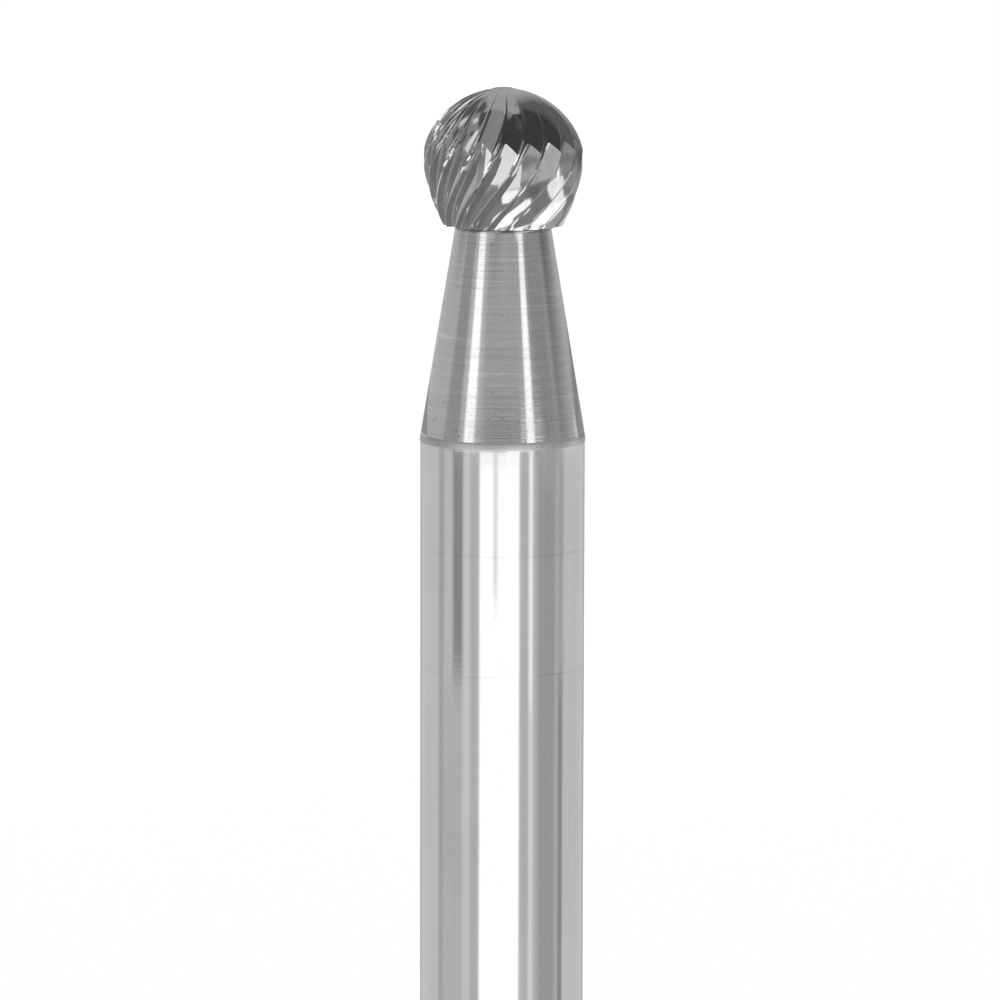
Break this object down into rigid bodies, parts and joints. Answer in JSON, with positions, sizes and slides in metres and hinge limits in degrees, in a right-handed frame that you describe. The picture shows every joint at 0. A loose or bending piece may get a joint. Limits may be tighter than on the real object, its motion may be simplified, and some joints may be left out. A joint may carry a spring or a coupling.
{
  "type": "carbide burr",
  "caption": "Ball-nosed rotary burr with a spiral-fluted spherical head, a tapered neck and a plain round shank for a 3 mm collet.",
  "frame": {"origin": "centre of the flat end of the shank, which the burr stands on", "axes": "+Z along the burr's axis towards the tip of the ball; the flutes have no front, so +X and +Y are arbitrary"},
  "size_m": [0.003, 0.003, 0.038],
  "materials": {
    "carbide": "ground tungsten carbide: polished shank, fine lathe-like grinding lines round the neck, bright ground flutes"
  },
  "bodies": {
    "root": {"burr": "carbide"}
  },
  "joints": []
}
